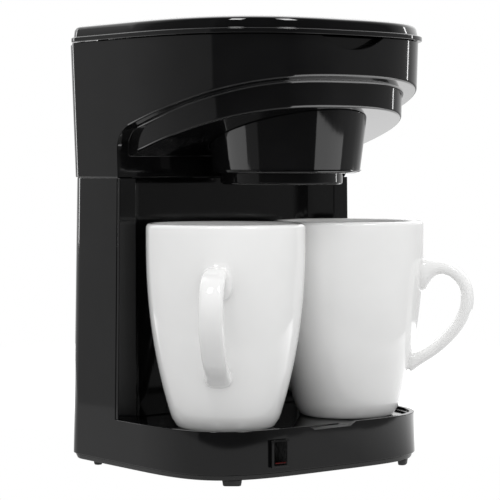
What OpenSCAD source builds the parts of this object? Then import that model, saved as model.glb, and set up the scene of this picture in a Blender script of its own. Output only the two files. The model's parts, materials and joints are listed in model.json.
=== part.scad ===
// Two-cup drip coffee maker with a pair of ceramic mugs.
// Millimetres. +X to the right as you face the machine, -Y to the front, +Z up.
// Z = 0 is the table under the feet. Mugs, lid, brew basket, filter and rocker are at rest.

/* [Body] */
// width of the base at its foot
body_width = 159.2; // [150:0.2:170]
// distance from the origin to the front of the base
base_front = 56.3; // [50:0.1:64]
// distance from the origin to the back of the machine
body_back = 73.2; // [68:0.1:80]
// height of the seam between the tower and the head
seam_z = 152.8; // [150:0.1:158]
// wall thickness of the mouldings
wall = 2.4; // [2:0.1:3]
// draft of the tower, as its width at the seam over its width at the base
tower_draft = 0.976; // [0.96:0.001:1]

/* [Head] */
// distance from the origin to the front of the head, at its top
head_front = 71.5; // [66:0.1:76]
// top of the head wall
head_top = 223.8; // [220:0.1:228]
// how far the second tier of the head is set in from the first
tier_step = 7; // [5:0.1:9]
// height of the first tier's lower edge, above the origin
tier1_z = 183.4; // [178:0.1:188]
// height of the second tier's lower edge, above the origin
tier2_z = 170.8; // [166:0.1:174]
// rise of the first tier's edge towards the front, per mm
tier1_rise = 0.286; // [0.2:0.001:0.35]
// rise of the second tier's edge towards the front, per mm
tier2_rise = 0.278; // [0.2:0.001:0.35]

/* [Base] */
// top of the raised rim round the cup platform
rim_z = 27.6; // [26:0.1:30]
// top of the cup platform
platform_z = 25.6; // [22:0.1:26]
// width of the shallow dip at the middle of the rim
dip_width = 30; // [20:1:40]
// depth of that dip
dip_depth = 2.2; // [1:0.1:2.6]

/* [Mugs] */
// largest radius of a mug
mug_radius = 40.7; // [38:0.1:40.8]
// height of a mug
mug_height = 104.2; // [98:0.1:108]
// distance of each mug's axis from the middle
mug_x = 41; // [41:0.1:44]
// distance of both mug axes in front of the origin
mug_y = 19.5; // [17:0.1:22]
// direction of the handles, out from straight ahead
handle_turn = 44; // [0:1:80]

/* [Brew basket] */
// radius of the drum at its lower edge
drum_radius = 38.3; // [36:0.1:40]
// distance of the drum's axis in front of the origin
drum_y = 18.2; // [16:0.1:20]
// distance between the two outlets
outlet_gap = 44; // [36:1:50]

/* [Hidden] */
$fn = 64;

plate_z = 3;                   // underside of the bottom plate
wall_z = 5.8;                  // lower edge of the body wall
half_w = body_width / 2;
head_w = half_w - 0.1;
head_d = 71;                   // height of the head wall
deck_z = 216.5;                // underside of the deck
deck_t = 2.2;
basket_y = -16;                // axis of the basket and filter
axis_y = 66.5;                 // lid hinge
axis_z = 227.5;
bay_y = 24;                    // front faces of the tower
floor_y = 40;                  // back of the cup recess
heat_x = -18;                  // middle of the heater
heat_y = 56;
heat_z = 50;
sw_x = -35.5;                  // switch
sw_z = 15.4;
sw_turn = -4.2;
outlet_y = -14.2;
black = [0.09, 0.09, 0.1];
dark = [0.16, 0.16, 0.17];

// ---------- outlines ----------
// front half is a superellipse about y = 20, the back has rounded corners
function front_pt(w, f, p, a) =
  let(c = cos(a), s = sin(a), r = pow(pow(abs(c), p) + pow(abs(s), p), -1 / p)) [w * r * c, 20 - (f + 20) * r * s];
function plan(w, f, b, p, rb, n = 56) = concat(
  [for (i = [0:n]) front_pt(w, f, p, 180 * i / n)],
  [for (i = [0:7]) [-(w - rb) - rb * cos(90 * i / 7), b - rb + rb * sin(90 * i / 7)]],
  [for (i = [0:7]) [w - rb + rb * sin(90 * i / 7), b - rb + rb * cos(90 * i / 7)]]);
module base_plan(i = 0) polygon(plan(half_w - i, base_front - i, body_back - i, 4.2, max(14 - i, 3)));
module head_plan(i = 0, b = 0)
  polygon(plan(head_w - i, head_front - i, (b == 0 ? body_back + 0.2 - i : b), 2.85, max(12 - i, 2.5)));

// the head outline grows upward from the seam
module head_taper(i, z0, z1) {
  s0 = head_s(z0);
  s1 = head_s(z1);
  translate([0, 0, z0]) linear_extrude(z1 - z0, scale = s1 / s0) scale(s0) head_plan(i);
}
function head_s(z) = 1 - (1 - tower_draft) * (head_top - z) / head_d;
function body_s(z) = 1 - (1 - tower_draft) * (z - wall_z) / (seam_z - wall_z);
module body_taper(i, z0, z1) {
  s0 = body_s(z0);
  s1 = body_s(z1);
  translate([0, 0, z0]) linear_extrude(z1 - z0, scale = s1 / s0) scale(s0) base_plan(i);
}
// a profile drawn in Y and Z, run across the machine
module across(w) rotate([90, 0, 90]) linear_extrude(w, center = true) children();
module slab(x0, x1, y0, y1, z0, z1) translate([x0, y0, z0]) cube([x1 - x0, y1 - y0, z1 - z0]);
module rod(p, r, h) translate(p) cylinder(r = r, h = h);
module rodx(p, r, h) translate(p) rotate([0, 90, 0]) cylinder(r = r, h = h);
module rody(p, r, h) translate(p) rotate([-90, 0, 0]) cylinder(r = r, h = h);

// everything under the first tier, in front of the tower
cut_r = 13;
module below1(d = 0, y = bay_y) {
  zc = tier1_z + d - tier1_rise * (y - cut_r) - cut_r * sqrt(1 + tier1_rise * tier1_rise);
  across(220) polygon(concat([[-120, 0], [y, 0]],
    [for (i = [0:8]) let(a = 74 * i / 8) [y - cut_r + cut_r * cos(a), zc + cut_r * sin(a)]],
    [[-120, tier1_z + d + 120 * tier1_rise]]));
}
module below2(d = 0, y = bay_y + 0.2)
  across(220) polygon([[-120, 0], [y, 0], [y, tier2_z + d - tier2_rise * y], [-120, tier2_z + d + 120 * tier2_rise]]);

// ---------- lower body ----------
tower_bosses = [[-64, 61], [-58, 61], [58, 61], [64, 61]];
plate_bosses = [[-40, -30], [40, -30], [-66, 30], [66, 30], [0, 36]];
strap_x = [heat_x - 9, heat_x + 9];

module main_body() color(black) {
  difference() {
    union() {
      difference() {
        body_taper(0, wall_z, seam_z);
        slab(-120, 120, -120, bay_y + 0.6, rim_z, 200);
      }
    }
    // under the platform
    difference() {
      body_taper(wall, wall_z - 1, platform_z - wall);
      for (p = plate_bosses) rod([p[0], p[1], 0], 4, 60);
    }
    // inside the tower
    difference() {
      body_taper(wall, platform_z, seam_z + 1);
      slab(-120, 120, -120, bay_y + 0.6, 0, 200);
      // heater bosses
      for (x = strap_x) rody([x, 52.4, 73 + heat_z - 50], 4, 22);
      // tabs that the head is screwed to
      for (s = [-1, 1]) slab(s * 61 - 7, s * 61 + 7, 54, 80, 145, 148.4);
    }
    // platform inside the rim
    difference() {
      translate([0, 0, platform_z]) linear_extrude(20) base_plan(2.6);
      slab(-120, 120, bay_y + 0.6, 120, 0, 200);
    }
    // the dip in the rim
    translate([0, -base_front, rim_z]) rotate([90, 0, 0]) linear_extrude(20, center = true)
      polygon([[-dip_width / 2 - 1, 0.1], [-dip_width / 2 + 3, -dip_depth], [dip_width / 2 - 3, -dip_depth], [dip_width / 2 + 1, 0.1]]);
    // slot in the platform for the front panel to pass its foot into
    for (p = plate_bosses) rod([p[0], p[1], 5], 1.45, 12);
    for (x = strap_x) rody([x, 51, 73 + heat_z - 50], 1.45, 15);
    for (s = [-1, 1]) rod([s * 61, 61, 140], 1.8, 20);
    // switch opening
    translate([sw_x, -base_front + 1.2, sw_z]) rotate([0, 0, sw_turn]) cube([9.2, 12, 13.2], center = true);
    // mains cable opening
    rody([44, 60, 15], 4.2, 30);
    // cool-air slots low in the back wall
    for (i = [-2:2]) slab(i * 9 - 1.2, i * 9 + 1.2, 66, 80, 14, 22);
    // way up for wires and tubes
    slab(-44, 44, 47, 66, platform_z - 5, platform_z + 0.5);
  }
}

// tower front: two wings with a recess for the mugs between them
recess = [[-67.6, 22.2], [-60.4, 36.3], [-58.6, 38.6], [-56, 39.7], [-53, floor_y]];
recess_back = [[-53, floor_y + 2.2], [-56.8, 41.8], [-60.2, 40.2], [-62.6, 37.2], [-69.2, 24.4]];
function flip(v) = [for (i = [len(v) - 1:-1:0]) [-v[i][0], v[i][1]]];
module front_panel() color(black) difference() {
  panel_sheet();
  for (s = [-1, 1]) slab(s * 90 - 13.4, s * 90 + 13.4, 0, 60, 0, rim_z + 0.15);
}
module panel_sheet() intersection() {
  translate([0, 0, platform_z + 0.1]) linear_extrude(seam_z - platform_z - 0.3)
    polygon(concat([[-100, 22.2]], recess, flip(recess), [[100, 22.2], [100, 24.4]], flip(recess_back), recess_back, [[-100, 24.4]]));
  body_taper(0.15, wall_z, seam_z);
}

module bottom_plate() color(dark) difference() {
  union() {
    translate([0, 0, plate_z]) linear_extrude(wall_z - plate_z - 0.1, scale = 1.012) scale(1 / 1.012) base_plan(1);
    translate([0, 0, wall_z - 0.2]) linear_extrude(1.8) difference() {
      base_plan(wall + 0.5);
      base_plan(wall + 2.3);
    }
  }
  for (p = plate_bosses) {
    rod([p[0], p[1], 0], 1.7, 20);
    rod([p[0], p[1], 0], 3.1, plate_z + 1.4);
  }
  for (p = foot_at) translate([p[0], p[1], 0]) rotate([0, 0, p[2]]) {
    rod([-2.6, 0, 0], 1.5, 20);
    rod([2.6, 0, 0], 1.5, 20);
  }
  for (i = [-4:4]) slab(i * 5 - 1, i * 5 + 1, -14, 12, 0, 20);
}

foot_at = [[-57.5, -46, -38], [57.5, -46, 38], [-69, 56, 60], [69, 56, -60]];
module feet() color([0.12, 0.12, 0.12]) for (p = foot_at) translate([p[0], p[1], 0]) rotate([0, 0, p[2]]) {
  for (s = [-1, 1]) translate([s * 2.6, 0, 0]) {
    cylinder(r1 = 1.9, r2 = 2.4, h = plate_z);
    cylinder(r = 1.3, h = wall_z - 0.2);
  }
  linear_extrude(plate_z) square([5.2, 3.8], center = true);
}
module screw(l, r = 1.35, rh = 2.8, t = 1.2) {
  cylinder(r = rh, h = t);
  cylinder(r = r, h = l);
}
module bottom_screws() color([0.7, 0.7, 0.72])
  for (p = plate_bosses) translate([p[0], p[1], plate_z + 0.15]) difference() {
    screw(11);
    slab(-0.4, 0.4, -2, 2, -1, 0.5);
    slab(-2, 2, -0.4, 0.4, -1, 0.5);
  }

// ---------- head ----------
module head_housing() color(black) {
  head_shell();
  hinge_lugs();
}
module head_shell() difference() {
  union() {
    difference() {
      head_taper(0, seam_z, head_top);
      below1();
    }
    difference() {
      head_taper(tier_step, seam_z, head_top - 20);
      below2();
    }
  }
  // hollow of both tiers, with a ledge for the deck
  difference() {
    head_taper(wall + 1.2, seam_z - 1, deck_z);
    below1(wall + 0.2, bay_y + 2.6);
    for (s = [-1, 1]) rod([s * 61, 61, 0], 4.2, 157.4);
    for (s = [-1, 1]) slab(s * 61 - 1.2, s * 61 + 1.2, 61, 80, 0, 157.4);
    scoop(36.5, 2.2, 3.2);
  }
  difference() {
    head_taper(tier_step + wall, seam_z - 1, head_top - 8);
    below2(wall + 0.1, bay_y + 2.8);
    for (s = [-1, 1]) rod([s * 61, 61, 0], 4.2, 157.4);
    for (s = [-1, 1]) slab(s * 61 - 1.2, s * 61 + 1.2, 61, 80, 0, 157.4);
    scoop(36.5, 2.2, 3.2);
  }
  difference() {
    head_taper(wall, deck_z - 0.01, head_top + 1);
    for (s = [-1, 1]) {
      hinge_lug(s);
      slab(s * 57.75 - 1.75, s * 57.75 + 1.75, 64, 80, 217, 221);
    }
    scoop(36.5, 2.2, 3.2);
  }
  // back wall is lower between the ends, to clear the lid
  slab(-66, 66, 64.5, 90, 221.2, 240);
  slab(-90, 90, 64.5, 90, 222.9, 240);
  // brew basket opening
  rod([0, basket_y, 150], 39.5, 55);
  // finger scoop under the lid's front edge
  scoop(34.5, 0, 5.5);
  for (s = [-1, 1]) rod([s * 61, 61, 140], 1.45, 16.4);
}
// a shallow round pocket in the front wall; grown by r and d it is the pocket's own wall
module scoop(r, g, depth)
  translate([0, -head_front - 6, head_top + 27.9]) rotate([-90, 0, 0]) cylinder(r = r, h = 6 + depth + g + (g > 0 ? 2.2 : 0), $fn = 96);
module hinge_lug(s) {
  rodx([s * 57.75 - 1.75, axis_y, axis_z], 2.8, 3.5);
  slab(s * 57.75 - 1.75, s * 57.75 + 1.75, axis_y - 2.8, axis_y + 2.8, 217, axis_z);
}
module hinge_lugs() for (s = [-1, 1]) difference() {
  union() {
    hinge_lug(s);
    slab(s * 57.75 - 1.75, s * 57.75 + 1.75, 64, 70.9, 217, 221);
  }
  rodx([-80, axis_y, axis_z], 1.4, 160);
}
module head_screws() color([0.7, 0.7, 0.72])
  for (s = [-1, 1]) translate([s * 61, 61, 143.8]) screw(12, 1.35, 2.9, 1.2);

module deck() color(dark) {
  difference() {
    translate([0, 0, deck_z]) linear_extrude(deck_t) scale(head_s(deck_z)) head_plan(wall + 0.3);
    rod([0, basket_y, 200], 38, 40);
    for (s = [-1, 1]) translate([0, 0, 200]) linear_extrude(40) hull() for (x = [14, 58], y = [37, 60]) translate([s * x, y]) circle(r = 4, $fn = 32);
    rod([0, heat_y, 200], 4.8, 40);
    for (s = [-1, 1]) slab(s * 57.75 - 2.1, s * 57.75 + 2.1, 63.3, 80, 200, 240);
    scoop(37, 2.6, 3.4);
  }
}

module drum_cone(r, z0, z1) translate([0, -drum_y, z0])
  cylinder(r1 = r + (z0 - 155) * 0.128, r2 = r + (z1 - 155) * 0.128, h = z1 - z0, $fn = 128);
module brew_drum() color(black) difference() {
  union() {
    drum_cone(drum_radius, 156, 205);
    translate([0, -drum_y, 155]) cylinder(r1 = drum_radius - 0.9, r2 = drum_radius + 0.128, h = 1, $fn = 128);
  }
  difference() {
    drum_cone(drum_radius - 2.2, 157.2, 206);
  }
  rod([0, outlet_y, 150], 33, 20);
  // cut to the slope of the head's underside and to the tower's face
  translate([0, 0, -0.1]) difference() {
    slab(-100, 100, -100, 100, 150, 230);
    below2(0, 200);
  }
  slab(-100, 100, bay_y - 0.1, 100, 100, 230);
}

// ---------- water path ----------
module tank_plan(i) {
  difference() {
    translate([-70 + i, 29 + i]) square([140 - 2 * i, 38.4 - 2 * i]);
    for (s = [-1, 1]) translate([s * 70, 68]) circle(r = 6 + i);
  }
}
module water_tank() color([0.2, 0.2, 0.22]) difference() {
  union() {
    translate([0, 0, 158.4]) linear_extrude(deck_z - 0.3 - 158.4) tank_plan(0);
    rod([heat_x * 2, heat_y, 148], 3.4, 12);
  }
  difference() {
    translate([0, 0, 160.4]) linear_extrude(80) tank_plan(1.8);
    rod([0, heat_y, 150], 7.4, 80);
    rod([heat_x * 2, heat_y, 150], 5, 12.6);
  }
  rod([0, heat_y, 140], 5.6, 90);
  rod([heat_x * 2, heat_y, 140], 2, 40);
  rod([heat_x * 2, heat_y, 159.4], 3.4, 10);
}
module valve_ball() color([0.75, 0.75, 0.78]) translate([heat_x * 2, heat_y, 162.1]) sphere(r = 2.6, $fn = 40);
module tank_hose() color([0.85, 0.85, 0.82]) difference() {
  rod([heat_x * 2, heat_y, 100], 5, 52);
  rod([heat_x * 2, heat_y, 90], 3.5, 80);
}
module riser_tube() color([0.85, 0.85, 0.82]) difference() {
  rod([0, heat_y, 100], 4.6, 119.4);
  rod([0, heat_y, 90], 3.5, 140);
}
module riser_seal() color([0.8, 0.3, 0.2]) difference() {
  union() {
    rod([0, heat_y, deck_z + deck_t + 0.05], 6.6, 2);
  }
  rod([0, heat_y, 200], 4.7, 40);
}
module hose_clamps() color([0.75, 0.75, 0.78])
  for (p = [[heat_x * 2, 145.5, 5.1], [heat_x * 2, 103, 5.1], [0, 103, 4.7]])
    translate([p[0], heat_y, p[1]]) difference() {
      union() {
        cylinder(r = p[2] + 0.8, h = 4);
        slab(-1.4, 1.4, -p[2] - 4, 0.5 - p[2], 0, 4);
      }
      rod([0, 0, -1], p[2], 6);
    }
module heater_section() {
  translate([18, 0]) circle(r = 5);
  translate([26, 0]) circle(r = 4);
  translate([18, -2.5]) square([8, 5]);
}
module heater() color([0.72, 0.73, 0.75]) translate([heat_x, heat_y, heat_z]) difference() {
  union() {
    rotate([-90, 0, 0]) rotate_extrude(angle = 180) heater_section();
    for (s = [0, 1]) mirror([s, 0, 0]) {
      linear_extrude(42) heater_section();
      translate([18, 0, 42]) cylinder(r = 3.4, h = 16);
      translate([26, 0, 42]) cylinder(r = 2.6, h = 5);
      translate([26, 0, 47]) cylinder(r = 1.2, h = 7);
    }
  }
  for (s = [-1, 1]) translate([s * 18, 0, 20]) cylinder(r = 2.4, h = 50);
}
module heater_strap() color([0.66, 0.67, 0.7]) difference() {
  slab(heat_x - 30, heat_x + 30, 49.6, 50.8, heat_z + 17, heat_z + 29);
  for (x = strap_x) rody([x, 40, heat_z + 23], 1.7, 20);
}
module strap_screws() color([0.7, 0.7, 0.72])
  for (x = strap_x) translate([x, 48.3, heat_z + 23]) rotate([-90, 0, 0]) screw(14, 1.35, 3, 1.2);
module thermostat() color([0.8, 0.78, 0.7]) translate([heat_x, 0, heat_z - 1]) {
  translate([0, 50.8, 0]) rotate([90, 0, 0]) cylinder(r = 8, h = 4.6);
  translate([0, 46.2, 0]) rotate([90, 0, 0]) cylinder(r = 5.4, h = 2.6);
  difference() {
    slab(-23, 23, 50.1, 50.9, -4, 4);
    for (s = [-1, 1]) rody([s * 20, 40, 0], 1.2, 20);
  }
  for (s = [-1, 1]) slab(s * 4 - 1.6, s * 4 + 1.6, 42.8, 44, -3, -2.2);
}
module thermal_fuses() color([0.9, 0.9, 0.88])
  for (x = [-36, 36]) translate([heat_x + x - (x > 0 ? 1 : -1) * 2.6, heat_y, heat_z + 4]) {
    cylinder(r = 2.2, h = 16);
    translate([0, 0, -4]) cylinder(r = 0.6, h = 24);
  }

// ---------- switch and wiring ----------
module at_switch() translate([sw_x, -base_front + 0.25, sw_z]) rotate([0, 0, sw_turn]) children();
module switch_housing() color([0.05, 0.05, 0.06]) at_switch() difference() {
  union() {
    slab(-5.3, 5.3, -1.5, 0, -6.9, 6.9);
    slab(-4.4, 4.4, -0.1, 11.5, -6.4, 6.4);
  }
  slab(-3.7, 3.7, -3, 6.5, -5.7, 5.7);
  rodx([-4.15, 0, 0], 0.7, 8.3);
}
module switch_terminals() color([0.85, 0.75, 0.45]) at_switch()
  for (z = [-4, 0, 4]) slab(-2.4, 2.4, 11.6, 17.6, z - 0.4, z + 0.4);
module rocker() color([0.35, 0.03, 0.03]) at_switch() {
  // pivot stubs that turn in the housing's side walls
  rodx([-4, 0, 0], 0.5, 8);
  rotate([90, 0, 90]) linear_extrude(6.9, center = true)
    polygon([[3.2, -3.2], [3.2, 3.2], [0.2, 5.1], [-1.2, 5.0], [-0.75, 2.4], [-0.6, 0], [-0.95, -2.4], [-1.7, -5.0], [0.2, -5.1]]);
}
module terminal_block() color([0.9, 0.9, 0.88]) difference() {
  slab(18, 46, -4, 8, 6.2, 17);
  for (x = [22.5, 32, 41.5]) {
    rod([x, 2, 11], 2.2, 10);
    rody([x, -6, 12], 2, 4.5);
    rody([x, 5.5, 12], 2, 4.5);
  }
}
// three insulated leads, laid in straight runs with a collar at each turn
module lead(pts) for (i = [0:len(pts) - 2]) {
  a = pts[i];
  b = pts[i + 1];
  v = b - a;
  l = norm(v);
  translate(a) rotate([0, acos(v[2] / l), atan2(v[1], v[0])]) cylinder(r = 1.1, h = l);
  if (i > 0) translate(a) cube(2.6, center = true);
}
module wires() color([0.25, 0.2, 0.18]) {
  lead([[-34.4, -38.2, 19.4], [-34.4, -12, 19.4], [32, -12, 19.4], [32, -12, 12], [32, -4.6, 12]]);
  lead([[-34.4, -38.2, 11.4], [-34.4, 20, 11.4], [-42.2, 50, 11.4], [-42.2, 50, 60]]);
  lead([[41.5, 8.6, 12], [41.5, 50, 12], [12, 50, 12], [12, 50, 60]]);
}

// ---------- lid ----------
module lid_shell(i, top) hull() {
  translate([0, 0, 226.4]) linear_extrude(0.01) head_plan(0.2 + i, 70.6 - i);
  translate([0, 0, min(230.2, top - 1)]) linear_extrude(0.01) head_plan(0.9 + i, 70.3 - i);
  translate([0, 0, min(231.8, top - 0.6)]) linear_extrude(0.01) head_plan(1.9 + i, 69.4 - i);
  translate([0, 0, min(232.7, top - 0.3)]) linear_extrude(0.01) head_plan(3.9 + i, 67.5 - i);
  translate([0, 0, min(233.4, top - 0.1)]) linear_extrude(0.01) head_plan(9 + i, 62.5 - i);
  translate([0, 0, top]) linear_extrude(0.01) head_plan(34 + i, 38 - i);
}
module lid() color(black) {
  difference() {
    union() {
      lid_shell(0, 235.2);
      translate([0, 0, 224.1]) linear_extrude(2.4) head_plan(-1.8, 71.3);
    }
    difference() {
      union() {
        lid_shell(1.9, 233);
        translate([0, 0, 223]) linear_extrude(3.5) head_plan(2.1, 68.7);
      }
      // hinge barrels
      for (s = [-1, 1]) barrel(s);
      // posts that carry the spreader
      for (p = [[-14, basket_y], [14, basket_y], [0, 30]]) rod([p[0], p[1], 224.2], 2.4, 20);
    }
    for (s = [-1, 1]) slab(s * 57.75 - 2.4, s * 57.75 + 2.4, 62.2, 90, 220, 231.3);
    rodx([-61.6, axis_y, axis_z], 1.4, 123.2);
  }
}
module barrel(s) {
  rodx([s * 48.5 - 6, axis_y, axis_z], 3, 12);
  slab(s * 48.5 - 6, s * 48.5 + 6, axis_y - 3, axis_y + 5, axis_z, 240);
}
module lid_pins() color([0.75, 0.75, 0.78]) for (s = [-1, 1]) rodx([s * 52 - 9.2, axis_y, axis_z], 1.25, 18.4);
module spreader() color(dark) difference() {
  union() {
    rod([0, basket_y, 221.3], 22, 2.8);
    slab(-7.5, 7.5, basket_y, heat_y, 221.3, 224.1);
    rod([0, heat_y, 221.3], 7.5, 2.8);
  }
  slab(-3, 3, basket_y, heat_y, 222.4, 223.3);
  rod([0, basket_y, 222.4], 19, 0.9);
  rod([0, heat_y, 221], 3, 2.3);
  for (r = [6, 11, 16], i = [0:r - 1]) rod([r * cos(360 * i / r), basket_y + r * sin(360 * i / r), 221], 0.8, 2);
}

// ---------- brew basket ----------
module filter_holder() color(dark) difference() {
  union() {
    translate([0, basket_y, 157.5]) cylinder(r1 = 31.6, r2 = 37.4, h = 61.3, $fn = 96);
    rod([0, basket_y, deck_z + deck_t + 0.1], 41, 1.8);
    rod([0, outlet_y, 150.1], 32, 7.4);
    translate([0, outlet_y, 149.3]) cylinder(r1 = 31.2, r2 = 32, h = 0.8);
  }
  translate([0, basket_y, 159.5]) cylinder(r1 = 29.9, r2 = 35.5, h = 62, $fn = 96);
  // channel to the two outlets
  rod([0, basket_y, 152], 4, 10);
  slab(-outlet_gap / 2 - 4, outlet_gap / 2 + 4, outlet_y - 5, outlet_y + 5, 151.5, 155.5);
  for (s = [-1, 1]) rod([s * outlet_gap / 2, outlet_y, 148], 3, 6);
}
module filter_frame() color([0.15, 0.15, 0.16]) {
  translate([0, basket_y, 0]) {
    difference() {
      rod([0, 0, 214], 34.5, 2.6);
      rod([0, 0, 213], 33, 5);
    }
    difference() {
      rod([0, 0, 172], 26, 2);
      rod([0, 0, 171], 24, 5);
    }
    for (a = [0:60:300]) rotate([0, 0, a + 30]) {
      translate([0, 0, 173]) rotate([0, 0, 0]) rib();
      slab(0, 25, -0.9, 0.9, 172, 173.6);
    }
    // folding bail across the top
    for (s = [-1, 1]) slab(s * 32 - 1.5, s * 32 + 1.5, -2.5, 2.5, 214.5, 219.4);
    slab(-33.5, 33.5, -2.5, 2.5, 217.8, 219.6);
  }
}
module rib() rotate([90, 0, 0]) linear_extrude(1.8, center = true) polygon([[24, 0], [25.8, 0], [34.4, 42], [32.6, 42]]);
module filter_mesh() color([0.8, 0.75, 0.55]) translate([0, basket_y, 0]) difference() {
  translate([0, 0, 174.05]) cylinder(r1 = 23.8, r2 = 32.0, h = 39.9, $fn = 96);
  translate([0, 0, 174.45]) cylinder(r1 = 23.4, r2 = 31.7, h = 39.9, $fn = 96);
}

// ---------- mugs ----------
mug_out = [[0, 1.2], [19, 1.2], [19.6, 0], [23.6, 0], [24.8, 0.6], [25.8, 1.9], [27.8, 5.9], [29.3, 10], [30.6, 14.1], [32.6, 22.3],
  [34.6, 30.4], [36.1, 38.6], [37.4, 46.7], [38.5, 54.8], [39.4, 63], [40.0, 71.1], [40.4, 79.3], [40.6, 87.4], [mug_radius, 95]];
wall_m = 4.2;
module mug() color([0.95, 0.95, 0.93]) difference() {
  union() {
    rotate_extrude($fn = 128) polygon(concat(mug_out, [[mug_radius, mug_height - 2.2], [mug_radius - 0.5, mug_height - 0.8], [mug_radius - 1.6, mug_height], [0, mug_height]]));
    rotate([0, 0, -90]) mug_handle();
  }
  rotate_extrude($fn = 128) polygon(concat([[0, 7], [22, 7], [24.5, 8.2]],
    [for (i = [7:18]) [mug_out[i][0] - wall_m, mug_out[i][1] + 1]],
    [[mug_radius - wall_m, mug_height - 2], [mug_radius - wall_m + 0.9, mug_height - 0.5], [mug_radius - wall_m + 2.4, mug_height + 0.1], [0, mug_height + 0.1]]));
}
// the handle is one swept solid: a flat oval section carried along a smooth curve
ear_path = [[34, 77.6], [41.5, 79.4], [48, 79.9], [54, 78.5], [59, 75.2], [62.6, 70.3], [64.2, 64.2], [63.6, 57.4],
  [61, 51], [57, 45.4], [52, 40.1], [46.8, 35.8], [41.5, 32.3], [34, 28.2]];
function blend4(a, b, c, d, t) = 0.5 * (2 * b + (c - a) * t + (2 * a - 5 * b + 4 * c - d) * t * t + (3 * b - a - 3 * c + d) * t * t * t);
ear_line = [for (i = [1:len(ear_path) - 3], k = [0:1]) blend4(ear_path[i - 1], ear_path[i], ear_path[i + 1], ear_path[i + 2], k / 2)];
ear_line2 = concat([ear_path[0]], ear_line, [ear_path[len(ear_path) - 2], ear_path[len(ear_path) - 1]]);
function ear_ring(p, d) = let(n = [d[1], -d[0]] / norm(d))
  [for (k = [0:19]) let(a = 18 * k + 9, u = 3.4 * cos(a), v = 3.4 * sin(a) + (sin(a) > 0 ? 2.6 : -2.6)) [p[0] + n[0] * u, v, p[1] + n[1] * u]];
module mug_handle() {
  m = len(ear_line2);
  pts = [for (i = [0:m - 1]) each ear_ring(ear_line2[i], ear_line2[min(i + 1, m - 1)] - ear_line2[max(i - 1, 0)])];
  polyhedron(pts, concat([[for (k = [0:19]) k]], [[for (k = [19:-1:0]) (m - 1) * 20 + k]],
    [for (i = [0:m - 2], k = [0:19]) let(a = i * 20 + k, b = i * 20 + (k + 1) % 20) [b, a, a + 20]],
    [for (i = [0:m - 2], k = [0:19]) let(b = i * 20 + (k + 1) % 20, a = i * 20 + k) [b + 20, b, a + 20]]));
}
module mug_left() translate([-mug_x, -mug_y, platform_z]) rotate([0, 0, -handle_turn]) mug();
module mug_right() translate([mug_x, -mug_y, platform_z]) rotate([0, 0, handle_turn]) mug();

main_body();
front_panel();
bottom_plate();
feet();
bottom_screws();
head_housing();
head_screws();
deck();
brew_drum();
water_tank();
valve_ball();
tank_hose();
riser_tube();
riser_seal();
hose_clamps();
heater();
heater_strap();
strap_screws();
thermostat();
thermal_fuses();
switch_housing();
switch_terminals();
rocker();
terminal_block();
wires();
lid();
lid_pins();
spreader();
filter_holder();
filter_frame();
filter_mesh();
mug_left();
mug_right();
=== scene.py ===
"""Looks for the drip coffee maker: materials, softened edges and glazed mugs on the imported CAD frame."""

import json
import math

import bmesh
import bpy
from mathutils import Matrix, Vector


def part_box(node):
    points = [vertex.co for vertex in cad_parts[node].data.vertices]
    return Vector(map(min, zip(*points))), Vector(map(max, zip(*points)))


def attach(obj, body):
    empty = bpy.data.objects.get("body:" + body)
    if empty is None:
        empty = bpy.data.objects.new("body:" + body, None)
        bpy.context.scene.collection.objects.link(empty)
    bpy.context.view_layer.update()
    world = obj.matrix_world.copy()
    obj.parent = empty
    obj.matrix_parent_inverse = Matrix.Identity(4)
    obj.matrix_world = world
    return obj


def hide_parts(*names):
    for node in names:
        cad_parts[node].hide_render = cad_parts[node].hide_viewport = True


MM = 0.001

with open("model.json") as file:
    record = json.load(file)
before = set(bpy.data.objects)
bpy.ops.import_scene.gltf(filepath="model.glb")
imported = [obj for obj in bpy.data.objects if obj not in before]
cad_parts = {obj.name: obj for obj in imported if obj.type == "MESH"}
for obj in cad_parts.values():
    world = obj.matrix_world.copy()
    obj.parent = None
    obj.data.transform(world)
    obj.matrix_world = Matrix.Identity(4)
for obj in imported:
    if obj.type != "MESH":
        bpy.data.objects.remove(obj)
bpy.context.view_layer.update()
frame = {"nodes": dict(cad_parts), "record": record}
NODES = frame["nodes"]
BODIES = frame["record"]["behaviour"]["bodies"]
BODY_OF = {node: body for body, nodes in BODIES.items() for node in nodes}


# ---------- camera ----------
CAMERA_AT = Vector((-0.6629, -0.8276, 0.1613))
CAMERA_AIM = Vector((-0.0024, 0.0094, 0.1140))
CAMERA_LENS = 144.0


def make_camera():
    data = bpy.data.cameras.new("camera")
    data.lens = CAMERA_LENS
    data.sensor_width = 36.0
    data.clip_start = 0.02
    data.clip_end = 50.0
    camera = bpy.data.objects.new("camera", data)
    camera.location = CAMERA_AT
    camera.rotation_mode = "QUATERNION"
    camera.rotation_quaternion = (CAMERA_AIM - CAMERA_AT).to_track_quat("-Z", "Y")
    bpy.context.scene.collection.objects.link(camera)
    bpy.context.scene.camera = camera


# ---------- materials ----------
def new_material(name):
    """A material, its node tree and its Principled shader."""
    material = bpy.data.materials.new(name)
    material.use_nodes = True
    tree = material.node_tree
    return material, tree, tree.nodes["Principled BSDF"]


def object_noise(tree, scale, detail=3.0, roughness=0.5, stretch=(1.0, 1.0, 1.0)):
    """Noise in the object's own space, so it stays on the surface."""
    where = tree.nodes.new("ShaderNodeTexCoord")
    mapping = tree.nodes.new("ShaderNodeMapping")
    mapping.inputs["Scale"].default_value = stretch
    noise = tree.nodes.new("ShaderNodeTexNoise")
    noise.inputs["Scale"].default_value = scale
    noise.inputs["Detail"].default_value = detail
    noise.inputs["Roughness"].default_value = roughness
    tree.links.new(where.outputs["Object"], mapping.inputs["Vector"])
    tree.links.new(mapping.outputs["Vector"], noise.inputs["Vector"])
    return noise.outputs["Fac"]


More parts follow.
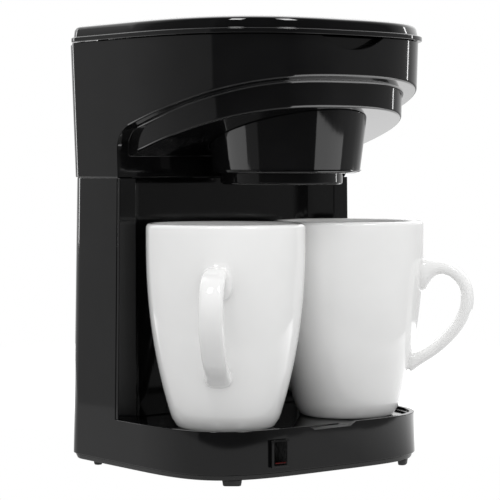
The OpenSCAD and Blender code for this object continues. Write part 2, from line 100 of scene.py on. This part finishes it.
def ramp(tree, factor, low, high, start=0.3, end=0.7):
    """A colour ramp from low to high over a part of the factor."""
    node = tree.nodes.new("ShaderNodeValToRGB")
    node.color_ramp.elements[0].position = start
    node.color_ramp.elements[1].position = end
    node.color_ramp.elements[0].color = (*low, 1.0)
    node.color_ramp.elements[1].color = (*high, 1.0)
    tree.links.new(factor, node.inputs["Fac"])
    return node.outputs["Color"]


def spread(tree, factor, low, high):
    """The factor mapped from 0..1 to low..high."""
    node = tree.nodes.new("ShaderNodeMapRange")
    node.inputs["To Min"].default_value = low
    node.inputs["To Max"].default_value = high
    tree.links.new(factor, node.inputs["Value"])
    return node.outputs["Result"]


def math_node(tree, operation, first, second):
    """A math node on two values."""
    node = tree.nodes.new("ShaderNodeMath")
    node.operation = operation
    tree.links.new(first, node.inputs[0])
    tree.links.new(second, node.inputs[1])
    return node.outputs[0]


def grey_ramp(tree, factor, stops):
    """A grey ramp through position and brightness pairs."""
    node = tree.nodes.new("ShaderNodeValToRGB")
    elements = node.color_ramp.elements
    elements[0].position, elements[1].position = stops[0][0], stops[-1][0]
    for position, value in stops[1:-1]:
        elements.new(position)
    for element, (position, value) in zip(elements, stops):
        element.color = (value, value, value, 1.0)
    tree.links.new(factor, node.inputs["Fac"])
    return node.outputs["Color"]


def bump(tree, shader, height, distance):
    """Relief from a height between 0 and 1, distance metres deep."""
    node = tree.nodes.new("ShaderNodeBump")
    node.inputs["Strength"].default_value = 1.0
    node.inputs["Distance"].default_value = distance
    tree.links.new(height, node.inputs["Height"])
    tree.links.new(node.outputs["Normal"], shader.inputs["Normal"])


def moulded(name, low, high, rough, grain=0.0, grain_scale=900.0, ripple=0.0):
    """Moulded plastic or rubber: faint mottle, uneven roughness, and fine grain or a long ripple."""
    material, tree, shader = new_material(name)
    cloud = object_noise(tree, 45.0, 4.0)
    tree.links.new(ramp(tree, cloud, low, high), shader.inputs["Base Color"])
    smear = object_noise(tree, 130.0, 5.0, 0.6)
    tree.links.new(spread(tree, smear, *rough), shader.inputs["Roughness"])
    shader.inputs["IOR"].default_value = 1.5
    if grain > 0:
        bump(tree, shader, object_noise(tree, grain_scale, 2.0), grain)
    elif ripple > 0:
        bump(tree, shader, object_noise(tree, 22.0, 1.0), ripple)
    return material


def metal(name, low, high, rough=(0.2, 0.35), brush=(1.0, 1.0, 1.0), scale=400.0, depth=0.00002):
    """Plain metal with a rolled or cast grain."""
    material, tree, shader = new_material(name)
    shader.inputs["Metallic"].default_value = 1.0
    grain = object_noise(tree, scale, 4.0, 0.6, brush)
    tree.links.new(ramp(tree, grain, low, high), shader.inputs["Base Color"])
    tree.links.new(spread(tree, grain, *rough), shader.inputs["Roughness"])
    bump(tree, shader, grain, depth)
    return material


def glaze(name):
    """White glazed ceramic: a warm white body under a glassy coat, with the glaze's slight waviness."""
    material, tree, shader = new_material(name)
    cloud = object_noise(tree, 30.0, 3.0)
    white = ramp(tree, cloud, (0.86, 0.86, 0.855), (0.90, 0.90, 0.895))
    tree.links.new(white, shader.inputs["Base Color"])
    shader.inputs["IOR"].default_value = 1.52
    shader.inputs["Coat Weight"].default_value = 0.35
    shader.inputs["Coat Roughness"].default_value = 0.02
    tree.links.new(spread(tree, object_noise(tree, 90.0, 4.0), 0.05, 0.10), shader.inputs["Roughness"])
    bump(tree, shader, object_noise(tree, 35.0, 1.5), 0.00004)
    return material


BANDS_PER_UNIT = 20 / math.tau    # of a wave texture at a scale of 1
MESH_PITCH = 0.6 * MM * math.tau  # 3.8 mm between threads, coarser than real filter cloth


def woven_mesh(name, pitch):
    """Woven nylon: two crossed sets of threads, pitch metres apart, as relief and tone."""
    material, tree, shader = new_material(name)
    where = tree.nodes.new("ShaderNodeTexCoord")
    waves = []
    for direction in ("X", "Z"):
        wave = tree.nodes.new("ShaderNodeTexWave")
        wave.bands_direction = direction
        wave.inputs["Scale"].default_value = 1.0 / (pitch * BANDS_PER_UNIT)
        tree.links.new(where.outputs["Object"], wave.inputs["Vector"])
        waves.append(wave.outputs["Fac"])
    cross = math_node(tree, "MAXIMUM", *waves)
    thread = ramp(tree, cross, (0.20, 0.16, 0.09), (0.62, 0.54, 0.36))
    tree.links.new(thread, shader.inputs["Base Color"])
    shader.inputs["Roughness"].default_value = 0.55
    bump(tree, shader, cross, 0.0002)
    return material


def tinted_rocker(name):
    """Dark red, almost black: how a translucent rocker looks when its lamp is off."""
    material, tree, shader = new_material(name)
    cloud = object_noise(tree, 160.0, 3.0)
    red = ramp(tree, cloud, (0.008, 0.0012, 0.0012), (0.075, 0.003, 0.003))
    tree.links.new(red, shader.inputs["Base Color"])
    tree.links.new(spread(tree, object_noise(tree, 200.0), 0.08, 0.16), shader.inputs["Roughness"])
    shader.inputs["IOR"].default_value = 1.5
    return material


GLOSS = moulded("gloss_black", (0.0035, 0.0035, 0.0037), (0.0055, 0.0055, 0.0058), (0.045, 0.085),
                ripple=0.00002)
SATIN = moulded("satin_black", (0.012, 0.012, 0.0125), (0.020, 0.020, 0.021), (0.30, 0.42), grain=0.00003)
PLATE = moulded("plate_black", (0.016, 0.016, 0.016), (0.024, 0.024, 0.024), (0.22, 0.34), grain=0.00002)
DECK = moulded("deck_black", (0.010, 0.010, 0.0105), (0.018, 0.018, 0.019), (0.25, 0.36), grain=0.00002)
TANK = moulded("tank_grey", (0.035, 0.036, 0.038), (0.055, 0.056, 0.058), (0.30, 0.44), grain=0.00002)
RUBBER = moulded("foot_rubber", (0.018, 0.018, 0.018), (0.034, 0.034, 0.034), (0.5, 0.66), grain=0.00006)
SILICONE = moulded("silicone", (0.62, 0.62, 0.58), (0.74, 0.74, 0.70), (0.32, 0.45), grain=0.00002)
SEAL = moulded("red_silicone", (0.30, 0.05, 0.03), (0.42, 0.08, 0.05), (0.4, 0.5), grain=0.00002)
NYLON = moulded("natural_nylon", (0.58, 0.57, 0.52), (0.70, 0.69, 0.64), (0.35, 0.5), grain=0.00002)
SLEEVE = moulded("glass_sleeve", (0.62, 0.60, 0.54), (0.80, 0.78, 0.72), (0.6, 0.75), grain=0.0001,
                 grain_scale=1500.0)
LEAD = moulded("lead_insulation", (0.02, 0.018, 0.016), (0.035, 0.03, 0.028), (0.35, 0.5), grain=0.00002)
ZINC = metal("zinc_steel", (0.48, 0.48, 0.50), (0.66, 0.66, 0.68), rough=(0.25, 0.4))
SPRING = metal("spring_steel", (0.42, 0.42, 0.45), (0.60, 0.60, 0.63), brush=(1, 1, 8))
CAST = metal("cast_aluminium", (0.48, 0.49, 0.51), (0.68, 0.69, 0.71), rough=(0.38, 0.55), scale=900.0,
             depth=0.0001)
BRASS = metal("plated_brass", (0.46, 0.36, 0.16), (0.64, 0.52, 0.26))
CERAMIC = glaze("white_glaze")
MESH = woven_mesh("woven_nylon", MESH_PITCH)
RED = tinted_rocker("dark_red_rocker")

FINISH = {
    "main_body": GLOSS, "front_panel": GLOSS, "head_housing": GLOSS, "brew_drum": GLOSS, "lid": GLOSS,
    "filter_holder": GLOSS, "switch_housing": GLOSS, "rocker": RED,
    "bottom_plate": PLATE, "feet": RUBBER, "deck": DECK, "spreader": DECK, "water_tank": TANK,
    "filter_frame": SATIN, "filter_mesh": MESH,
    "bottom_screws": ZINC, "head_screws": ZINC, "strap_screws": ZINC,
    "valve_ball": SPRING, "lid_pins": SPRING, "hose_clamps": SPRING, "heater_strap": SPRING,
    "heater": CAST, "thermostat": CAST, "switch_terminals": BRASS,
    "tank_hose": SILICONE, "riser_tube": SILICONE, "riser_seal": SEAL,
    "thermal_fuses": SLEEVE, "terminal_block": NYLON, "wires": LEAD,
    "mug_left": CERAMIC, "mug_right": CERAMIC,
}


def set_finishes():
    for node, material in FINISH.items():
        slots = NODES[node].data.materials
        slots.clear()
        slots.append(material)


# ---------- pieces ----------
WELD = 2e-6                   # metres within which packed corners are one point
FLAT = math.radians(0.5)      # faces that meet at less than this are one face
CORNER = math.radians(32.0)   # edges sharper than this are rounded
HEAD_AXIS = Vector((0.0, 0.01, 0.2))
TIER_RADIUS = 1.3 * MM
FINE_RADIUS = 0.45 * MM
DRUM_RADIUS = 2.6 * MM
DRUM_INNER = 35.5 * MM        # the drum's bottom edges further out than this are its outer edge
EVEN_RADII = {
    "main_body": 0.5, "front_panel": 0.4, "lid": 0.5, "bottom_plate": 0.4,
    "filter_holder": 0.5, "feet": 0.4, "switch_housing": 0.3, "rocker": 0.3,
}                             # millimetres


def link(name, mesh, node):
    """A new piece that stands for a CAD node, on its body and with its finish."""
    piece = bpy.data.objects.new(name, mesh)
    bpy.context.scene.collection.objects.link(piece)
    piece.data.materials.clear()
    piece.data.materials.append(FINISH[node])
    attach(piece, BODY_OF[node])
    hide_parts(node)
    return piece


def smooth_edges(mesh, radius_at):
    """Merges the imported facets, gives each moulded edge its share of the largest radius, and returns that."""
    work = bmesh.new()
    work.from_mesh(mesh)
    bmesh.ops.remove_doubles(work, verts=work.verts, dist=WELD)
    bmesh.ops.dissolve_limit(work, angle_limit=FLAT, verts=work.verts, edges=work.edges)
    bmesh.ops.dissolve_degenerate(work, dist=WELD, edges=work.edges)
    work.normal_update()
    radii = {}
    for edge in work.edges:
        if len(edge.link_faces) == 2 and edge.calc_face_angle(0.0) > CORNER:
            radii[edge.index] = radius_at(edge)
    largest = max(radii.values())
    weights = work.edges.layers.float.new("bevel_weight_edge")
    for edge in work.edges:
        edge[weights] = radii.get(edge.index, 0.0) / largest
    for face in work.faces:
        face.smooth = True
    work.to_mesh(mesh)
    work.free()
    return largest


def softened(node, radius_at, segments=3):
    """The node's own shape with its moulded edges rounded; radius_at gives an edge's radius."""
    mesh = NODES[node].data.copy()
    width = smooth_edges(mesh, radius_at)
    piece = link(node + "_soft", mesh, node)
    bevel = piece.modifiers.new("edges", "BEVEL")
    bevel.width = width
    bevel.segments = segments
    bevel.limit_method = "WEIGHT"
    bevel.use_clamp_overlap = False
    bevel.miter_outer = "MITER_ARC"
    normals = piece.modifiers.new("normals", "WEIGHTED_NORMAL")
    normals.mode = "FACE_AREA_WITH_ANGLE"
    normals.weight = 60
    normals.keep_sharp = False
    return piece


def even_radius(radius):
    return lambda edge: radius


def edge_middle(edge):
    return (edge.verts[0].co + edge.verts[1].co) / 2


def head_radius(edge):
    """Generous rounding along the two tiers' lower edges, fine elsewhere."""
    out = edge_middle(edge) - HEAD_AXIS
    down = min(face.normal.z for face in edge.link_faces)
    slopes = any(-0.99 < face.normal.z < -0.9 for face in edge.link_faces)
    outside = any(abs(face.normal.z) < 0.12 and face.normal.dot(out) > 0 for face in edge.link_faces)
    return TIER_RADIUS if slopes and outside and down < -0.9 else FINE_RADIUS


def drum_radius(edge):
    """The drum's outer bottom edge has a wide round; its other edges are fine."""
    low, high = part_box("brew_drum")
    middle = edge_middle(edge)
    axis = Vector((0.0, (low.y + high.y) / 2, middle.z))
    at_bottom = middle.z < low.z + 0.5 * MM and (middle - axis).length > DRUM_INNER
    return DRUM_RADIUS if at_bottom else FINE_RADIUS


# ---------- mugs ----------
MUG_RADIUS = 40.7 * MM
MUG_HEIGHT = 104.2 * MM
MUG_WALL = 4.2 * MM
MUG_FLOOR = 7.0 * MM
MUG_AXIS_X = 41.0 * MM
MUG_AXIS_Y = -19.5 * MM
MUG_SIDES = 144
BELLY_DROP = 14.57 * MM       # how much narrower the mug is at its foot
BELLY_TOP = 95.0 * MM         # height at which the wall turns upright
BELLY_POWER = 2.19
WALL_STEPS = 30
# the underside and foot ring, as millimetres out from the mug's axis and up from where it stands
FOOT = ((0.0, 1.3), (15, 1.3), (19, 1.2), (19.8, 0.2), (20.4, 0.0), (22.8, 0.0))
FOOT_ROUND = 3.2 * MM
HANDLE_TURN = 44.0            # degrees out from straight ahead
# the handle's middle line, as millimetres out from the mug's axis and up from its foot
HANDLE_LINE = ((33, 77.6), (41.5, 79.4), (48, 79.9), (54, 78.5), (59, 75.2), (62.6, 70.3), (64.2, 64.2),
               (63.6, 57.4), (61, 51), (57, 45.4), (52, 40.1), (46.8, 35.8), (41.5, 32.3), (32, 27.2))
HANDLE_STEPS = 72
HANDLE_SIDES = 28
HANDLE_THICK = 3.4 * MM       # half the section, in the handle's plane
HANDLE_WIDE = 6.0 * MM        # half the section, across that plane
FLARE_REACH = 3.2 * MM        # the section grows this near the wall
FLARE_THICK = 0.62
FLARE_WIDE = 0.32
LOWER_FLARE = 0.55            # the lower root's share of that growth
WEB_DROP = 3.4 * MM           # the upper root hangs lower where it meets the wall
WEB_REACH = 6.5 * MM
WEB_ABOVE = 60 * MM           # a point higher than this belongs to the upper root
ROOT_HEIGHTS = (79 * MM, 31.5 * MM)
ROOT_REACH = 9 * MM
ROOT_WIDE = 9.5 * MM
SEAM_BAND = 1.6 * MM          # corners this near the wall are smoothed where a root meets it
SEAM_PASSES = 4


def mug_wall(height):
    """The mug's outer radius at a height."""
    return MUG_RADIUS - BELLY_DROP * max(0.0, 1 - height / BELLY_TOP) ** BELLY_POWER


def arc(cx, cz, radius, first, last, steps):
    """Profile points on an arc, angles in degrees from +X towards +Z."""
    angles = [math.radians(first + (last - first) * k / steps) for k in range(steps + 1)]
    return [(cx + radius * math.cos(t), cz + radius * math.sin(t)) for t in angles]


def mug_profile():
    """Radius and height pairs: underside, outside, over the rim, inside, inner floor."""
    bottom, span = 5 * MM, MUG_HEIGHT - 7.2 * MM
    heights = [bottom + k * span / WALL_STEPS for k in range(WALL_STEPS + 1)]
    outside = [(mug_wall(h), h) for h in heights]
    foot = [(out * MM, up * MM) for out, up in FOOT]
    foot += arc(foot[-1][0], FOOT_ROUND, FOOT_ROUND, -80, -25, 5)
    rim_round = MUG_WALL / 2
    rim = arc(MUG_RADIUS - rim_round, MUG_HEIGHT - rim_round, rim_round, 0, 180, 10)
    inner = [h for h in reversed(heights) if 15 * MM < h < MUG_HEIGHT - 3 * MM]
    inside = [(mug_wall(h) - MUG_WALL, h) for h in inner]
    radius, height = inside[-1]
    floor = [(radius - 1.2 * MM, height - 3 * MM), (radius - 3.6 * MM, MUG_FLOOR + 2 * MM),
             (radius - 7.5 * MM, MUG_FLOOR), (0.0, MUG_FLOOR)]
    return foot + outside[:-1] + rim + inside + floor


def lathe(work, profile, sides):
    """A closed body of revolution about Z; the profile starts and ends on the axis."""
    rings = []
    for radius, height in profile[1:-1]:
        turns = [2 * math.pi * k / sides for k in range(sides)]
        rings.append([work.verts.new((radius * math.cos(t), radius * math.sin(t), height)) for t in turns])
    for lower, upper in zip(rings, rings[1:]):
        for k in range(sides):
            n = (k + 1) % sides
            work.faces.new((lower[k], lower[n], upper[n], upper[k]))
    start = work.verts.new((0.0, 0.0, profile[0][1]))
    end = work.verts.new((0.0, 0.0, profile[-1][1]))
    for k in range(sides):
        n = (k + 1) % sides
        work.faces.new((start, rings[0][n], rings[0][k]))
        work.faces.new((end, rings[-1][k], rings[-1][n]))


def curve_between(a, b, c, d, u):
    """A smooth curve from b (u = 0) to c (u = 1), with a and d the points before and after."""
    return (2 * b + (c - a) * u + (2 * a - 5 * b + 4 * c - d) * u * u + (3 * b - a - 3 * c + d) * u ** 3) / 2


def curve_point(points, t):
    """A smooth curve through the points, t from 0 to len(points) - 1."""
    i = min(int(t), len(points) - 2)
    near = (points[min(max(i + k, 0), len(points) - 1)] for k in (-1, 0, 1, 2))
    return curve_between(*near, t - i)


def oval(angle, thick, wide):
    """A point of a squarish oval, thick one way and wide the other."""
    c, s = math.cos(angle), math.sin(angle)
    return thick * math.copysign(abs(c) ** 0.85, c), wide * math.copysign(abs(s) ** 0.75, s)


def handle(work):
    """The ear handle: a flat oval section swept along its line, growing where it meets the wall."""
    points = [Vector((x, 0.0, z)) * MM for x, z in HANDLE_LINE]
    last = len(points) - 1
    rings = []
    for step in range(HANDLE_STEPS + 1):
        t = step / HANDLE_STEPS * last
        here = curve_point(points, t)
        ahead = curve_point(points, min(t + 0.05, last)) - curve_point(points, max(t - 0.05, 0.0))
        along = ahead.normalized()
        across = Vector((along.z, 0.0, -along.x))
        from_wall = max(0.0, here.x - mug_wall(here.z))
        upper = here.z > WEB_ABOVE
        flare = math.exp(-(from_wall / FLARE_REACH) ** 1.3) * (1.0 if upper else LOWER_FLARE)
        web = WEB_DROP * math.exp(-(from_wall / WEB_REACH) ** 1.6) if upper else 0.0
        here = here - Vector((0.0, 0.0, web))
        thick = HANDLE_THICK * (1 + FLARE_THICK * flare) + web
        wide = HANDLE_WIDE * (1 + FLARE_WIDE * flare)
        ring = []
        for k in range(HANDLE_SIDES):
            u, v = oval(2 * math.pi * k / HANDLE_SIDES, thick, wide)
            ring.append(work.verts.new(here + across * u + Vector((0.0, v, 0.0))))
        rings.append(ring)
    for first, second in zip(rings, rings[1:]):
        for k in range(HANDLE_SIDES):
            n = (k + 1) % HANDLE_SIDES
            work.faces.new((first[k], first[n], second[n], second[k]))
    work.faces.new(rings[0][::-1])
    work.faces.new(rings[-1])


def linked_shape(name, build):
    """An object whose mesh the build function makes."""
    mesh = bpy.data.meshes.new(name)
    work = bmesh.new()
    build(work)
    bmesh.ops.recalc_face_normals(work, faces=work.faces)
    for face in work.faces:
        face.smooth = True
    work.to_mesh(mesh)
    work.free()
    shape = bpy.data.objects.new(name, mesh)
    bpy.context.scene.collection.objects.link(shape)
    return shape


def in_seam(point):
    """Whether a point is close to the line where the handle's roots meet the wall."""
    by_root = min(abs(point.z - height) for height in ROOT_HEIGHTS) < ROOT_REACH
    if point.x < 0 or not by_root or abs(point.y) > ROOT_WIDE:
        return False
    return abs(math.hypot(point.x, point.y) - mug_wall(point.z)) < SEAM_BAND


def make_mug(node, side):
    """One mug, its handle joined to the wall, standing where the CAD's mug stands."""
    body = linked_shape("mug_body", lambda work: lathe(work, mug_profile(), MUG_SIDES))
    ear = linked_shape("mug_ear", handle)
    join = body.modifiers.new("join", "BOOLEAN")
    join.operation = "UNION"
    join.solver = "EXACT"
    join.object = ear
    bpy.context.view_layer.update()
    mesh = bpy.data.meshes.new_from_object(body.evaluated_get(bpy.context.evaluated_depsgraph_get()))
    work = bmesh.new()
    work.from_mesh(mesh)
    bmesh.ops.remove_doubles(work, verts=work.verts, dist=5e-6)
    seam = [vert for vert in work.verts if in_seam(vert.co)]
    for _ in range(SEAM_PASSES):
        bmesh.ops.smooth_vert(work, verts=seam, factor=0.4, use_axis_x=True, use_axis_y=True, use_axis_z=True)
    for face in work.faces:
        face.smooth = True
    work.to_mesh(mesh)
    work.free()
    for part in (body, ear):
        bpy.data.objects.remove(part)
    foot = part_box(node)[0].z
    turn = math.radians(-90 + side * HANDLE_TURN)
    place = Matrix.Translation((side * MUG_AXIS_X, MUG_AXIS_Y, foot))
    mesh.transform(place @ Matrix.Rotation(turn, 4, "Z"))
    return link(node + "_glazed", mesh, node)


# ---------- stage ----------
# the level direction from the camera to the machine
AWAY = ((CAMERA_AIM - CAMERA_AT) * Vector((1, 1, 0))).normalized()
# how far the table reaches from the machine's middle, as azimuth in degrees and metres
FLOOR_REACH = ((-175, 0.30), (-128, 0.24), (-60, 0.24), (0, 0.50), (48, 0.80), (95, 0.60), (140, 0.36))
FLOOR_STEPS = 8               # corners of the table's outline for each of those
FLOOR_BRIGHT = (0.87, 0.50, 0.0)
FLOOR_SPAN = (0.0, 0.22)      # distances along FLOOR_BRIGHT over which the table gets brighter
FLOOR_TONE = (0.50, 1.9)
FLOOR_DROP = 0.2 * MM         # below the feet, so the two don't share a plane
STAGE_MIDDLE = Vector((0.0, 0.0, 0.12))
UPWARD = Vector((0.0, 0.0, 1.0))
# brightness of the room as the plastic reflects it, by azimuth in degrees
ROOM = ((-180, 0.27), (-173, 0.27), (-171, 0.05), (-85, 0.04), (-58, 0.13), (-48, 0.22), (-20, 0.30),
        (20, 0.30), (60, 0.25), (85, 0.40), (125, 0.36), (180, 0.27))
# these go by the height of the direction, from 0 level to 1 straight up
ROOM_HEIGHT = ((0.0, 1.0), (0.12, 0.95), (0.35, 0.30), (1.0, 0.15))
GLOW_HEIGHT = ((0.0, 0.3), (0.05, 0.3), (0.3, 1.0), (1.0, 1.0))
# the glow behind, by how directly it is faced
GLOW = ((0.35, 0.0), (0.6, 0.45), (0.8, 1.5), (1.0, 2.0))
EVEN_LIGHT = 0.92
WINDOW = (0.24, 0.36)         # metres across and up


def floor_material():
    """Light of its own: white to the viewer, and in reflections brighter towards the right and the back."""
    material = bpy.data.materials.new("pale_floor")
    material.use_nodes = True
    tree = material.node_tree
    tree.nodes.clear()
    out = tree.nodes.new("ShaderNodeOutputMaterial")
    shine = tree.nodes.new("ShaderNodeEmission")
    path = tree.nodes.new("ShaderNodeLightPath")
    where = tree.nodes.new("ShaderNodeTexCoord")
    along = tree.nodes.new("ShaderNodeVectorMath")
    along.operation = "DOT_PRODUCT"
    along.inputs[1].default_value = FLOOR_BRIGHT
    tone = tree.nodes.new("ShaderNodeMapRange")
    limits = zip(("From Min", "From Max", "To Min", "To Max"), (*FLOOR_SPAN, *FLOOR_TONE))
    for socket, value in limits:
        tone.inputs[socket].default_value = value
    tree.links.new(where.outputs["Object"], along.inputs[0])
    tree.links.new(along.outputs["Value"], tone.inputs["Value"])
    seen = math_node(tree, "MAXIMUM", path.outputs["Is Camera Ray"], tone.outputs["Result"])
    tree.links.new(seen, shine.inputs["Strength"])
    tree.links.new(shine.outputs[0], out.inputs["Surface"])
    return material


def make_floor():
    """A small pale table top under the machine, reaching furthest behind it."""
    turns = [(math.radians(azimuth), reach) for azimuth, reach in FLOOR_REACH]
    corners = [Vector((math.cos(t), math.sin(t), 0.0)) * reach for t, reach in turns]
    outline = []
    for k in range(len(corners)):
        near = [corners[(k + j) % len(corners)] for j in (-1, 0, 1, 2)]
        outline += [curve_between(*near, step / FLOOR_STEPS) for step in range(FLOOR_STEPS)]
    mesh = bpy.data.meshes.new("floor")
    mesh.from_pydata(outline, [], [tuple(range(len(outline)))])
    floor = bpy.data.objects.new("floor", mesh)
    floor.location.z = -FLOOR_DROP
    bpy.context.scene.collection.objects.link(floor)
    floor.data.materials.append(floor_material())


def area_light(name, direction, distance, size, radiance, lights=True, shines=True, only=(), level=False):
    """A softbox round the machine, sized in metres.

    It faces the machine's middle, or straight up when level. It lights matt surfaces, shines in glossy ones,
    or both, on every piece or only on those given.
    """
    data = bpy.data.lights.new(name, "AREA")
    data.shape = "RECTANGLE"
    data.size, data.size_y = size
    data.energy = radiance * math.pi * size[0] * size[1]
    light = bpy.data.objects.new(name, data)
    light.location = STAGE_MIDDLE + Vector(direction).normalized() * distance
    light.rotation_mode = "QUATERNION"
    facing = UPWARD if level else STAGE_MIDDLE - light.location
    light.rotation_quaternion = facing.to_track_quat("-Z", "Y")
    light.visible_camera = False
    light.visible_diffuse = lights
    light.visible_glossy = shines
    if only:
        served = bpy.data.collections.new(name + "_serves")
        for piece in only:
            served.objects.link(piece)
        light.light_linking.receiver_collection = served
    bpy.context.scene.collection.objects.link(light)


def make_room():
    """White to the viewer, even light on matt surfaces, a dark room with a glow behind in glossy ones."""
    world = bpy.data.worlds.new("studio")
    bpy.context.scene.world = world
    world.use_nodes = True
    tree = world.node_tree
    tree.nodes.clear()
    out = tree.nodes.new("ShaderNodeOutputWorld")
    path = tree.nodes.new("ShaderNodeLightPath")
    where = tree.nodes.new("ShaderNodeTexCoord")
    part = tree.nodes.new("ShaderNodeSeparateXYZ")
    tree.links.new(where.outputs["Generated"], part.inputs[0])
    azimuth = math_node(tree, "ARCTAN2", part.outputs["Y"], part.outputs["X"])
    turn = tree.nodes.new("ShaderNodeMapRange")
    turn.inputs["From Min"].default_value = -math.pi
    turn.inputs["From Max"].default_value = math.pi
    tree.links.new(azimuth, turn.inputs["Value"])
    stops = [((degrees + 180) / 360, value) for degrees, value in ROOM]
    room = grey_ramp(tree, turn.outputs["Result"], stops)
    height = grey_ramp(tree, part.outputs["Z"], ROOM_HEIGHT)
    faced = tree.nodes.new("ShaderNodeVectorMath")
    faced.operation = "DOT_PRODUCT"
    faced.inputs[1].default_value = (AWAY + Vector((0, 0, 0.6))).normalized()
    tree.links.new(where.outputs["Generated"], faced.inputs[0])
    glow = grey_ramp(tree, faced.outputs["Value"], GLOW)
    raised = grey_ramp(tree, part.outputs["Z"], GLOW_HEIGHT)
    walls = math_node(tree, "MULTIPLY", room, height)
    behind = math_node(tree, "MULTIPLY", glow, raised)
    tone = math_node(tree, "ADD", walls, behind)
    reflected, even, seen = (tree.nodes.new("ShaderNodeBackground") for _ in range(3))
    tree.links.new(tone, reflected.inputs["Color"])
    even.inputs["Color"].default_value = (1.0, 1.0, 1.0, 1.0)
    even.inputs["Strength"].default_value = EVEN_LIGHT
    seen.inputs["Color"].default_value = (1.0, 1.0, 1.0, 1.0)
    by_gloss = tree.nodes.new("ShaderNodeMixShader")
    by_camera = tree.nodes.new("ShaderNodeMixShader")
    tree.links.new(path.outputs["Is Glossy Ray"], by_gloss.inputs["Fac"])
    tree.links.new(even.outputs[0], by_gloss.inputs[1])
    tree.links.new(reflected.outputs[0], by_gloss.inputs[2])
    tree.links.new(path.outputs["Is Camera Ray"], by_camera.inputs["Fac"])
    tree.links.new(by_gloss.outputs[0], by_camera.inputs[1])
    tree.links.new(seen.outputs[0], by_camera.inputs[2])
    tree.links.new(by_camera.outputs[0], out.inputs["Surface"])


def make_lights(head, drum, black):
    """Two windows above, and strips and cards that show only in the glossy plastic."""
    for name, direction in (("window_left", (-0.467, -0.267, 0.83)), ("window_front", (0.113, -0.582, 0.80))):
        area_light(name + "_shine", direction, 1.3, WINDOW, 16.0, lights=False)
        area_light(name + "_light", direction, 1.3, WINDOW, 9.0, shines=False)
    area_light("strip_right", (0.996, -0.087, 0.20), 1.6, (0.05, 0.7), 10.0, lights=False, only=black)
    area_light("strip_left", (-0.309, 0.951, 0.25), 1.6, (0.13, 0.9), 6.5, lights=False, only=black)
    area_light("card_front", (0.42, -0.90, -0.13), 0.36, (0.30, 0.09), 1.6, lights=False, only=[drum])
    area_light("card_side", (1.0, 0.05, -0.13), 0.36, (0.16, 0.09), 1.2, lights=False, only=[drum])
    area_light("card_left", (-0.90, 0.42, -0.10), 0.34, (0.26, 0.10), 1.3, lights=False, only=[drum])
    for name, direction, distance, size, radiance in (
        ("card_low_front", (0.20, -0.25, -0.115), 0.34, (0.30, 0.30), 3.0),
        ("card_low_back", (-0.20, 0.28, -0.115), 0.363, (0.20, 0.26), 2.2),
    ):
        area_light(name, direction, distance, size, radiance, lights=False, only=[head, drum], level=True)


make_camera()
set_finishes()
head = softened("head_housing", head_radius)
drum = softened("brew_drum", drum_radius, segments=5)
others = [softened(node, even_radius(radius * MM)) for node, radius in EVEN_RADII.items()]
make_mug("mug_left", -1)
make_mug("mug_right", 1)
make_floor()
make_room()
make_lights(head, drum, [head, drum] + others)
scene = bpy.context.scene
scene.view_settings.view_transform = "Standard"
scene.view_settings.look = "None"

bpy.context.view_layer.update()
